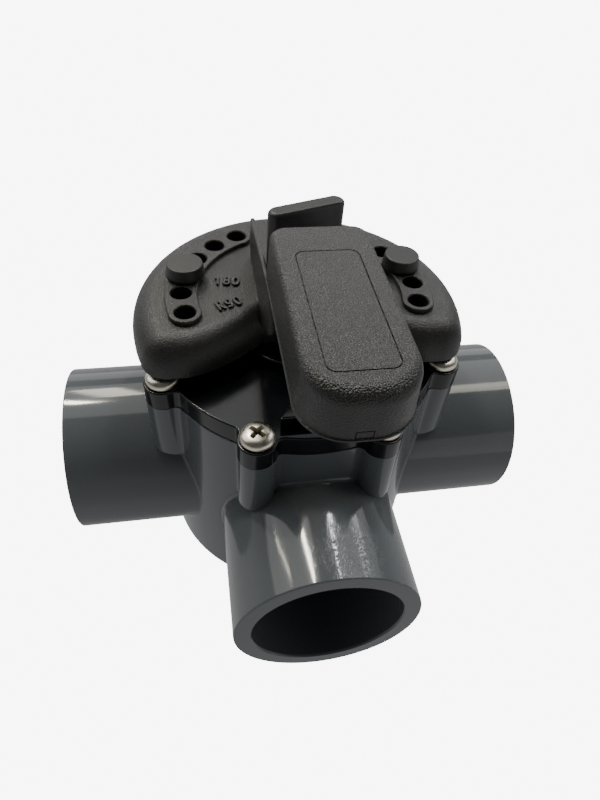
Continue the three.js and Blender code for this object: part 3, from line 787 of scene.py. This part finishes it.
def cover():
    def plan(inset):
        return flower(COVER_RADIUS, EAR_RADIUS, BOSS_FILLET, inset)

    plate = prism("plate", plan, COVER_FOOT, COVER_TOP, EDGE)
    plug = lathe("plug", soften([
        (0, PLUG_FOOT, 0), (PLUG_RADIUS, PLUG_FOOT, PLUG_ROUND),
        (PLUG_RADIUS, GROOVE_HEIGHTS[0], 0), (GROOVE_RADIUS, GROOVE_HEIGHTS[0], GROOVE_ROUND),
        (GROOVE_RADIUS, GROOVE_HEIGHTS[1], GROOVE_ROUND), (PLUG_RADIUS, GROOVE_HEIGHTS[1], 0),
        (PLUG_RADIUS, COVER_FOOT + 2 * PAST, 0), (0, COVER_FOOT + 2 * PAST, 0)], steps=3),
        segments=128)
    boss = lathe("boss", soften([
        (0, COVER_TOP - 2 * PAST, 0), (COVER_BOSS_RADIUS, COVER_TOP - 2 * PAST, 0),
        (COVER_BOSS_RADIUS, COVER_BOSS_TOP, EDGE), (0, COVER_BOSS_TOP, 0)], steps=3))
    tab = prism("tab", list(reversed(STOP_PLAN)), COVER_TOP - 2 * PAST, STOP_TOP)
    bevel(tab, EDGE)
    join(plate, plug, boss, tab)
    bore = lathe("bore", [(0, PLUG_FOOT - PAST), (STEM_BORE_RADIUS, PLUG_FOOT - PAST),
                          (STEM_BORE_RADIUS, COVER_BOSS_TOP + PAST),
                          (0, COVER_BOSS_TOP + PAST)], segments=72)
    holes = []
    for angle in SCREW_ANGLES:
        hole = lathe("hole", [(0, COVER_FOOT - PAST), (PILOT_RADIUS + GAP, COVER_FOOT - PAST),
                              (PILOT_RADIUS + GAP, COVER_TOP + PAST), (0, COVER_TOP + PAST)],
                     segments=24)
        holes.append(turned(hole, shift=(*at_angle(SCREW_CIRCLE, angle), 0)))
    return cut(plate, bore, *holes)


def recess_arm(top):
    """One arm of a cross recess, narrowing downwards."""
    levels = []
    for long, narrow, rise in RECESS_ARM:
        corners = [(-long, -narrow), (long, -narrow), (long, narrow), (-long, narrow)]
        levels.append(level(corners, top + rise))
    return skin("arm", levels)


def screw():
    """A pan head screw, with a point attribute of painted shade that grows with the depth below the
    head's dome, darkening its cross recess.
    """
    seat = COVER_TOP + SCREW_LIFT
    top = seat + HEAD_HEIGHT
    dome_foot = seat + HEAD_SIDE
    dome_height = HEAD_HEIGHT - HEAD_SIDE
    made = lathe("screw", [
        (0, SCREW_TIP), (SCREW_SHANK, SCREW_TIP + SCREW_TAPER), (SCREW_SHANK, seat),
        *[(HEAD_RADIUS - inset, seat + rise) for inset, rise in HEAD_LOWER_EDGE],
        *[(HEAD_RADIUS * math.cos(turn) ** HEAD_POWER, dome_foot + dome_height * math.sin(turn))
          for turn in quarter(10)[:-1]],
        (0, top)], segments=64)
    cut(made, recess_arm(top), turned(recess_arm(top), 90))
    bevel(made, RECESS_EDGE, angle=40)
    start, span = RECESS_SHADE_DEPTH
    # Painted shade: the cross recess darkens the deeper it lies below the dome
    recess_shade = made.data.attributes.new("recess_shade", "FLOAT", "POINT")
    for vertex, value in zip(made.data.vertices, recess_shade.data):
        x, y, z = vertex.co
        reach = min(math.hypot(x, y) / HEAD_RADIUS, 1.0)
        if reach < RECESS_SHADE_REACH and z > seat:
            dome = dome_foot + dome_height * math.sqrt(1 - reach ** HEAD_INVERSE_POWER)
            value.value = min(max((dome - z - start) / span, 0.0), 1.0)
    return made


# ------------------------------------------------------------------ handle

def dial_outline(inset):
    """A round dial that ends in two lobes beside the lever, with curved bays between them."""
    distance = DIAL_RADIUS - LOBE_RADIUS
    lobe_x = distance * math.cos(math.radians(LOBE_ANGLE))
    lobe_y = -distance * math.sin(math.radians(LOBE_ANGLE))
    radius = LOBE_RADIUS - inset

    def bay(side):
        points = []
        for step in range(BAY_STEPS + 1):
            t = step / BAY_STEPS
            x, y = ((1 - t) ** 2 * root + 2 * t * (1 - t) * bend + t * t * flat
                    for root, bend, flat in zip(LOBE_ROOT, LOBE_BEND, LOBE_FLAT))
            points.append((side * x, y + inset))
        return points

    return [
        *bay(1),
        *arc(lobe_x, lobe_y, radius, -90, -LOBE_ANGLE, LOBE_STEPS),
        *arc(0, 0, DIAL_RADIUS - inset, -LOBE_ANGLE, 180 + LOBE_ANGLE, DIAL_STEPS)[1:],
        *arc(-lobe_x, lobe_y, radius, 180 + LOBE_ANGLE, 270, LOBE_STEPS)[1:],
        *reversed(bay(-1)),
    ]


def hole_place(side, number):
    """The centre of a stop hole, counted from the front on the left (-1) or right (1) side."""
    return (*at_angle(HOLE_CIRCLE, 270 + side * (FIRST_HOLE + HOLE_PITCH * number)), 0)


def strip_outline(side, half_width):
    """A curved strip with round ends along the stop holes on one side."""
    first = 270 + side * FIRST_HOLE
    last = 270 + side * (FIRST_HOLE + HOLE_PITCH * (HOLE_COUNT - 1))
    turn = side * 180
    start_x, start_y = at_angle(HOLE_CIRCLE, first)
    end_x, end_y = at_angle(HOLE_CIRCLE, last)
    return [
        *arc(0, 0, HOLE_CIRCLE + half_width, first, last, STRIP_STEPS),
        *arc(end_x, end_y, half_width, last, last + turn, STRIP_END_STEPS)[1:],
        *arc(0, 0, HOLE_CIRCLE - half_width, last, first, STRIP_STEPS)[1:],
        *arc(start_x, start_y, half_width, first + turn, first + 2 * turn,
             STRIP_END_STEPS)[1:-1],
    ]


def dial():
    """The hollow dial, open below, with solid rails under the stop holes."""
    levels = [level(dial_outline(inset), DIAL_FOOT + rise) for inset, rise in DIAL_LOWER_EDGE]
    for turn in quarter(12):
        levels.append(level(dial_outline(DIAL_INSET * (1 - math.cos(turn))),
                            DIAL_TOP - DIAL_DROP * (1 - math.sin(turn))))
    made = skin("dial", levels)
    ceiling = DIAL_TOP - DIAL_WALL
    shoulder_inset, shoulder_depth = CAVITY_SHOULDER
    cavity = skin("cavity", [
        level(dial_outline(DIAL_WALL), DIAL_FOOT - PAST),
        level(dial_outline(DIAL_WALL), DIAL_FOOT + CAVITY_BEND),
        level(dial_outline(DIAL_WALL + shoulder_inset), ceiling - shoulder_depth),
        level(dial_outline(DIAL_WALL + CAVITY_CEILING_INSET), ceiling)])
    core = lathe("core", [(0, HUB_FOOT - 2 * PAST), (HUB_RADIUS, HUB_FOOT - 2 * PAST),
                          (HUB_RADIUS, DIAL_TOP), (0, DIAL_TOP)])
    rails = [prism("rail", strip_outline(side, PAD_HALF_WIDTH - GAP), RAIL_FOOT, DIAL_TOP)
             for side in (-1, 1)]
    cut(cavity, core, *rails)
    return cut(made, cavity)


def side_wall(side):
    """One upright wall of the support, which runs on backwards as a low fin."""
    inner = SUPPORT_HALF - SUPPORT_WALL
    corners = soften([
        (SUPPORT_FRONT, SUPPORT_FRONT_FOOT, SUPPORT_FRONT_ROUND),
        (SUPPORT_HEEL, SUPPORT_HEEL_FOOT, 0), (SUPPORT_HEEL, SUPPORT_FOOT, 0),
        (FIN_END, SUPPORT_FOOT, 0), (FIN_END, FIN_END_TOP, FIN_END_ROUND),
        (FIN_START, FIN_START_TOP, 0), (FIN_START, LEVER_RIM + PAST, 0),
        (SUPPORT_FRONT, LEVER_RIM + PAST, 0)], closed=True, steps=6)
    levels = [[(x, y, z) for y, z in corners] for x in (side * inner, side * SUPPORT_HALF)]
    return bevel(skin("wall", levels), SUPPORT_EDGE, segments=3, angle=40)


def lever_outline(half, near, far, near_radius):
    spread = half - near_radius
    far_side = half - LEVER_FAR_RADIUS
    return [
        *arc(-spread, near + near_radius, near_radius, 180, 270, LEVER_NEAR_STEPS),
        *arc(spread, near + near_radius, near_radius, 270, 360, LEVER_NEAR_STEPS),
        *arc(far_side, far - LEVER_FAR_RADIUS, LEVER_FAR_RADIUS, 0, 90, LEVER_FAR_STEPS),
        *arc(-far_side, far - LEVER_FAR_RADIUS, LEVER_FAR_RADIUS, 90, 180, LEVER_FAR_STEPS),
    ]


def lever_skin(name, wall, foot, lip):
    """The lever's outer shape moved inwards by a wall, with or without the lip at its rim."""
    far = LEVER_FAR - wall
    near_radius = LEVER_NEAR_RADIUS - wall
    rim = LEVER_RIM_HALF - wall
    levels = []
    if lip:
        for growth, rise in LIP:
            levels.append(level(lever_outline(
                rim + growth - LIP_INSET, LEVER_NEAR + wall - growth + LIP_INSET, far,
                near_radius), foot + rise))
    else:
        levels.append(level(lever_outline(rim, LEVER_NEAR + wall, far, near_radius), foot))
    top = LEVER_TOP - wall
    side_round = max(LEVER_SIDE_ROUND - wall / 2, LEVER_LEAST_ROUNDS[0])
    near_round = max(LEVER_NEAR_ROUND - wall / 2, LEVER_LEAST_ROUNDS[1])
    half = LEVER_TOP_HALF - wall
    near = LEVER_TOP_NEAR + wall
    for turn in quarter(LEVER_STEPS):
        away = 1 - math.cos(turn)
        inset = side_round * away
        near_inset = near_round * away
        radius = max(near_radius - LEVER_RADIUS_LOSS - inset / 2, LEVER_LEAST_RADIUS)
        ring = []
        for x, y in lever_outline(half - inset, near + near_inset, far, radius):
            share = min(max((near + LEVER_NEAR_ZONE - y) / LEVER_NEAR_ZONE, 0), 1)
            share = share * share * (3 - 2 * share)
            drop = side_round + (near_round - side_round) * share
            ring.append((x, y, top - drop * (1 - math.sin(turn))))
        levels.append(ring)
    return skin(name, levels)


def panel_line():
    """A thin groove around a rounded rectangle on the lever's top."""
    def plan(grow):
        x, low, high = PANEL_HALF + grow, PANEL_NEAR - grow, PANEL_FAR + grow
        r = PANEL_ROUND + grow
        return soften([(-x, low, r), (x, low, r), (x, high, r), (-x, high, r)], closed=True,
                      steps=8)

    foot = LEVER_TOP - PANEL_DEPTH
    outer = prism("groove", plan(PANEL_WIDTH / 2), foot, LEVER_TOP + PAST)
    inner = prism("island", plan(-PANEL_WIDTH / 2), foot - PAST, LEVER_TOP + 2 * PAST)
    return cut(outer, inner)


def near_frame():
    """A thin groove around a small oblong low on the lever's near face."""
    face = LEVER_NEAR + LIP_INSET
    left, right = FRAME_CENTRE - FRAME_HALF, FRAME_CENTRE + FRAME_HALF
    outer = block("frame", (left, face - 2 * PAST, FRAME_FOOT),
                  (right, face + FRAME_DEPTH, FRAME_TOP))
    inner = block("island", (left + FRAME_WIDTH, face - 3 * PAST, FRAME_FOOT + FRAME_WIDTH),
                  (right - FRAME_WIDTH, face + PAST, FRAME_TOP - FRAME_WIDTH))
    return cut(outer, inner)


def lever():
    made = lever_skin("lever", 0, LEVER_RIM, True)
    hollow = lever_skin("hollow", LEVER_WALL, LEVER_RIM - PAST, False)
    return cut(made, hollow, panel_line(), near_frame())


def thick_line(line, half):
    """The outline of a line drawn with a round pen."""
    left, right = [], []
    for i, (x, y) in enumerate(line):
        before = line[max(i - 1, 0)]
        after = line[min(i + 1, len(line) - 1)]
        way = Vector((after[0] - before[0], after[1] - before[1])).normalized() * half
        left.append((x - way.y, y + way.x))
        right.append((x + way.y, y - way.x))
    (x0, y0), (x1, y1) = line[0], line[-1]
    start = math.degrees(math.atan2(left[0][1] - y0, left[0][0] - x0))
    end = math.degrees(math.atan2(right[-1][1] - y1, right[-1][0] - x1))
    return [*right, *arc(x1, y1, half, end, end + 180, PEN_STEPS)[1:-1], *reversed(left),
            *arc(x0, y0, half, start, start + 180, PEN_STEPS)[1:-1]]


def oval(x, y, half_width, half_height):
    turns = [2 * math.pi * i / OVAL_STEPS for i in range(OVAL_STEPS)]
    return [(x + half_width * math.cos(t), y + half_height * math.sin(t)) for t in turns]


def figure(letter, x):
    """One raised figure or letter, with its left edge at x and its foot at 0."""
    foot, top = DIAL_TOP - FIGURE_SINK, DIAL_TOP + FIGURE_RISE
    wide, tall = FIGURE_SIZE

    def line_stroke(line):
        return prism("line", lambda inset: thick_line(line, FIGURE_PEN - inset), foot, top,
                     FIGURE_EDGE)

    def oval_stroke(centre, radii):
        made = prism("oval", lambda inset: oval(*centre, *[r + FIGURE_PEN - inset for r in radii]),
                     foot, top, FIGURE_EDGE)
        hole = prism("hole", oval(*centre, *[r - FIGURE_PEN for r in radii]), foot - PAST,
                     top + PAST)
        return cut(made, hole)

    parts = []
    for kind, *points in GLYPHS[letter]:
        if kind == "line":
            parts.append(line_stroke([(x + px * wide, py * tall) for px, py in points]))
        else:
            (cx, cy), (rx, ry) = points
            parts.append(oval_stroke((x + cx * wide, cy * tall), (rx * wide, ry * tall)))
    return join(parts[0], *parts[1:])


def label(text, place, angle):
    """Raised figures on the dial, centred at a place and turned to an angle."""
    width = FIGURE_PITCH * (len(text) - 1) + FIGURE_SIZE[0]
    made = [figure(letter, FIGURE_PITCH * i - width / 2) for i, letter in enumerate(text)]
    for piece in made:
        turned(piece, shift=(0, -FIGURE_SIZE[1] / 2, 0))
        turned(piece, angle, shift=(*place, 0))
    return made


def handle():
    made = dial()
    core = lathe("core", [(0, HUB_FOOT), (HUB_RADIUS, HUB_FOOT), (HUB_RADIUS, DIAL_TOP),
                          (0, DIAL_TOP)])
    pads = [prism("pad", lambda inset, s=side: strip_outline(s, PAD_HALF_WIDTH - inset),
                  DIAL_TOP - PAST, PAD_TOP, PAD_EDGE) for side in (-1, 1)]
    join(made, core, *pads, side_wall(-1), side_wall(1), lever())
    for text, place, angle in LABELS:
        join(made, *label(text, place, angle))
    profile = [(0, DIAL_FOOT - PAST), (HOLE_RADIUS, DIAL_FOOT - PAST),
               (HOLE_RADIUS, PAD_TOP - HOLE_CHAMFER),
               (HOLE_RADIUS + HOLE_CHAMFER, PAD_TOP + HOLE_MOUTH_RISE),
               (HOLE_RADIUS + HOLE_CHAMFER, PAD_TOP + PAST), (0, PAD_TOP + PAST)]
    holes = []
    for side in (-1, 1):
        for i in range(HOLE_COUNT):
            holes.append(turned(lathe("hole", profile, segments=40), shift=hole_place(side, i)))
    socket = block("socket", (-STEM_HALF, -STEM_HALF, HUB_FOOT - PAST),
                   (STEM_HALF, STEM_HALF, DIAL_TOP + PAST))
    cut(made, socket, *holes)
    return made


# ------------------------------------------------------------------ pins and knob

def stop_pin(side):
    seat = PAD_TOP + GAP
    top = seat + PIN_HEAD_HEIGHT
    profile = soften([
        (0, PIN_FOOT, 0), (PIN_TIP, PIN_FOOT, PIN_ROUND), (PIN_TIP, PIN_SHOULDER, 0),
        (PIN_SHANK, PIN_SHOULDER + 1, 0), (PIN_SHANK, seat, 0),
        (PIN_HEAD[0], seat, PIN_HEAD_FOOT_ROUND), (PIN_HEAD[0], seat + 1, PIN_ROUND),
        (PIN_HEAD[1], top, PIN_ROUND), (0, top, 0)], steps=6)
    return turned(lathe("pin", profile, segments=80), shift=hole_place(side, PIN_HOLE))


def locking_knob():
    seat = DIAL_TOP + 2 * GAP + WASHER[2]
    flange_top = seat + FLANGE_HEIGHT
    neck_top = flange_top + NECK_HEIGHT
    made = lathe("base", soften([
        (0, seat, 0), (FLANGE_RADIUS, seat, FLANGE_ROUNDS[0]),
        (FLANGE_RADIUS, flange_top, FLANGE_ROUNDS[1]),
        (NECK_RADIUS, flange_top, NECK_ROUNDS[0]),
        (NECK_RADIUS - NECK_TAPER, neck_top, NECK_ROUNDS[1]), (0, neck_top, 0)], steps=6))

    def plan(half, thick, height):
        return level([*arc(half - thick, 0, thick, -90, 90, WING_END_STEPS),
                      *arc(-half + thick, 0, thick, 90, 270, WING_END_STEPS)], height)

    end_round, side_round, top_round = WING_ROUNDS
    levels = [plan(WING_HALF, WING_THICK / 2 + WING_FOOT_GROWTH, flange_top - PAST)]
    for turn in quarter(WING_STEPS):
        away = 1 - math.cos(turn)
        levels.append(plan(WING_HALF - end_round * away, WING_THICK / 2 - side_round * away,
                           WING_TOP - top_round * (1 - math.sin(turn))))
    wing = turned(skin("wing", levels), WING_TURN)
    join(made, wing)
    hole = lathe("hole", [(0, seat - PAST), (STUD_HOLE, seat - PAST), (STUD_HOLE, STUD_HOLE_TOP),
                          (0, STUD_HOLE_TOP)], segments=40)
    return cut(made, hole)


def knob_washer():
    outer, inner, thick = WASHER
    foot = DIAL_TOP + GAP
    inner_round, foot_round, top_round = WASHER_ROUNDS
    profile = soften([(inner, foot, inner_round), (outer, foot, foot_round),
                      (outer, foot + thick, top_round), (inner, foot + thick, inner_round)],
                     closed=True, steps=3)
    return lathe("washer", profile, ring=True)


# ------------------------------------------------------------------ the valve

finished(valve_body(), "moulded_body", "valve_body", ["valve_body"],
         MATERIALS["grey_plastic"])
finished(cover(), "cover_plate", "valve_body", ["cover"],
         MATERIALS["black_plastic"])
for i, (angle, turn) in enumerate(zip(SCREW_ANGLES, SCREW_TURNS)):
    made = turned(screw(), turn, shift=(*at_angle(SCREW_CIRCLE, angle), 0))
    finished(made, f"pan_head_screw_{i + 1}", "valve_body", [f"cover_screw_{i + 1}"],
             MATERIALS["steel"], smooth=40)
finished(handle(), "moulded_handle", "diverter", ["handle"],
         MATERIALS["grained_plastic"])
for side, word in ((-1, "left"), (1, "right")):
    finished(stop_pin(side), f"{word}_stop_pin_moulding", f"stop_pin_{word}",
             [f"stop_pin_{word}"], MATERIALS["satin_plastic"])
finished(locking_knob(), "wing_knob", "locking_knob", ["locking_knob"],
         MATERIALS["satin_plastic"])
finished(knob_washer(), "steel_washer", "knob_washer", ["knob_washer"],
         MATERIALS["steel"])

CARRIED = {
    "cover_o_ring": "rubber",
    "diverter_rotor": "inner_plastic",
    "diverter_seal": "rubber",
    "stem_o_ring_lower": "rubber",
    "stem_o_ring_upper": "rubber",
    "knob_stud": "steel",
}
for node, slot in CARRIED.items():
    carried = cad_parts[node]
    carried.data.materials.clear()
    carried.data.materials.append(MATERIALS[slot])


# ------------------------------------------------------------------ floor, light and camera

# A flat floor that sweeps up into a pale wall on every side. This section is in metres.
FLOOR_FLAT = 3.0
FLOOR_CURVE = 1.2
WALL_TOP = 3.5
FLOOR_STEPS = 96
CURVE_STEPS = 12
PAPER_GLOW = 8


def backdrop():
    line = [*arc(FLOOR_FLAT, FLOOR_CURVE, FLOOR_CURVE, -90, 0, CURVE_STEPS),
            (FLOOR_FLAT + FLOOR_CURVE, WALL_TOP)]
    turns = [2 * math.pi * i / FLOOR_STEPS for i in range(FLOOR_STEPS)]
    points = [(r * math.cos(t), r * math.sin(t), z) for r, z in line for t in turns]
    faces = [tuple(range(FLOOR_STEPS))]
    for ring in range(len(line) - 1):
        for i in range(FLOOR_STEPS):
            a = ring * FLOOR_STEPS + i
            b = ring * FLOOR_STEPS + (i + 1) % FLOOR_STEPS
            faces.append((a, b, b + FLOOR_STEPS, a + FLOOR_STEPS))
    mesh = bpy.data.meshes.new("floor")
    mesh.from_pydata(points, [], faces)
    mesh.polygons.foreach_set("use_smooth", [True] * len(faces))
    return mesh


floor = bpy.data.objects.new("floor", backdrop())
bpy.context.scene.collection.objects.link(floor)
paper = Nodes("paper")
paper_cloud = paper.noise(scale=3, detail=2, rough=0.5)
paper.set(Base_Color=paper.mix(paper_cloud, (0.86, 0.86, 0.86), (0.9, 0.9, 0.9)))
paper.set(Roughness=0.9)
paper.set(Emission_Color=(1.0, 1.0, 1.0))
paper.set(Emission_Strength=PAPER_GLOW)
floor.data.materials.append(paper.material)
# The world lights the valve in the floor's place.
floor.visible_diffuse = False
floor.visible_glossy = False
floor.visible_shadow = False

# Brightness from straight down (0) to straight up (1): bright below the horizon, as over a
# white table, and dim above it
SKY = ((0.0, 0.3), (0.05, 0.42), (0.13, 0.56), (0.45, 0.42), (0.55, 0.25), (0.68, 0.07),
       (1.0, 0.06))
world = bpy.data.worlds.new("studio")
bpy.context.scene.world = world
world.use_nodes = True
sky = world.node_tree
place = sky.nodes.new("ShaderNodeTexCoord")
split = sky.nodes.new("ShaderNodeSeparateXYZ")
sky.links.new(place.outputs["Generated"], split.inputs["Vector"])
height = sky.nodes.new("ShaderNodeMapRange")
height.inputs["From Min"].default_value = -1
sky.links.new(split.outputs["Z"], height.inputs["Value"])
ramp = sky.nodes.new("ShaderNodeValToRGB")
while len(ramp.color_ramp.elements) < len(SKY):
    ramp.color_ramp.elements.new(0.5)
for stop, (position, tone) in zip(ramp.color_ramp.elements, SKY):
    stop.position = position
    stop.color = (tone, tone, tone, 1)
sky.links.new(height.outputs["Result"], ramp.inputs["Fac"])
sky.links.new(ramp.outputs["Color"], sky.nodes["Background"].inputs["Color"])


def lamp(name, place, aim, size, radiance, color):
    """A soft panel of the given radiance."""
    data = bpy.data.lights.new(name, "AREA")
    data.shape = "RECTANGLE"
    data.size, data.size_y = size
    data.energy = radiance * math.pi * size[0] * size[1]
    data.color = color
    made = bpy.data.objects.new(name, data)
    bpy.context.scene.collection.objects.link(made)
    made.location = place
    made.rotation_mode = "QUATERNION"
    made.rotation_quaternion = (Vector(aim) - Vector(place)).to_track_quat("-Z", "Y")
    made.visible_camera = False


WHOLE = (0, 0, 0.08)
LEFT_PORT = (-0.07, 0, 0.067)
RIGHT_PORT = (0.07, 0, 0.067)
WARM = (1.0, 0.93, 0.78)
COOL = (0.96, 0.98, 1.0)
WHITE = (1, 1, 1)
# Name, place, what it points at, size, radiance and colour
LAMPS = (
    ("row_1", (-1.06, 0.68, 0.97), WHOLE, (0.012, 0.3), 45, WARM),
    ("row_2", (-0.31, 0.45, 0.97), WHOLE, (0.05, 0.16), 110, WARM),
    ("row_3", (0.26, 0.45, 0.97), WHOLE, (0.07, 0.2), 34, COOL),
    ("row_4", (1.03, 0.69, 0.97), WHOLE, (0.25, 0.25), 6, COOL),
    ("left_panel", (-0.25, 0.74, 0.97), LEFT_PORT, (0.1, 0.35), 14, WARM),
    ("right_panel", (0.5, 0.02, 0.97), RIGHT_PORT, (0.2, 0.3), 6, WARM),
    ("ceiling", (0, 0.5, 1.02), WHOLE, (3.6, 1.1), 1.35, WHITE),
    ("back_wall", (0, 1.6, 0.35), WHOLE, (3.2, 0.6), 0.9, WHITE),
    ("right_front", (1.1, -1.0, 0.1), WHOLE, (1.6, 0.8), 0.35, WHITE),
)
for row in LAMPS:
    lamp(*row)

# The camera looks at a point near the valve's middle from 200 mm away.
CAMERA_TARGET = (-0.002037, -0.02192, 0.077596)
CAMERA_DISTANCE = 0.2
CAMERA_AZIMUTH = -12.69
CAMERA_ELEVATION = 46.09
CAMERA_ROLL = 4.967
CAMERA_LENS = 26.958
CAMERA_CLIP = (0.01, 50)
SENSOR = 36
azimuth = math.radians(CAMERA_AZIMUTH)
elevation = math.radians(CAMERA_ELEVATION)
back = Vector((math.sin(azimuth) * math.cos(elevation),
               -math.cos(azimuth) * math.cos(elevation), math.sin(elevation)))
camera_data = bpy.data.cameras.new("camera")
camera_data.lens = CAMERA_LENS
camera_data.sensor_width = SENSOR
camera_data.clip_start, camera_data.clip_end = CAMERA_CLIP
camera = bpy.data.objects.new("camera", camera_data)
bpy.context.scene.collection.objects.link(camera)
camera.rotation_mode = "QUATERNION"
camera.location = Vector(CAMERA_TARGET) + back * CAMERA_DISTANCE
look = (-back).to_track_quat("-Z", "Y").to_matrix()
roll = Matrix.Rotation(math.radians(CAMERA_ROLL), 3, "Z")
camera.rotation_quaternion = (look @ roll).to_quaternion()
bpy.context.scene.camera = camera
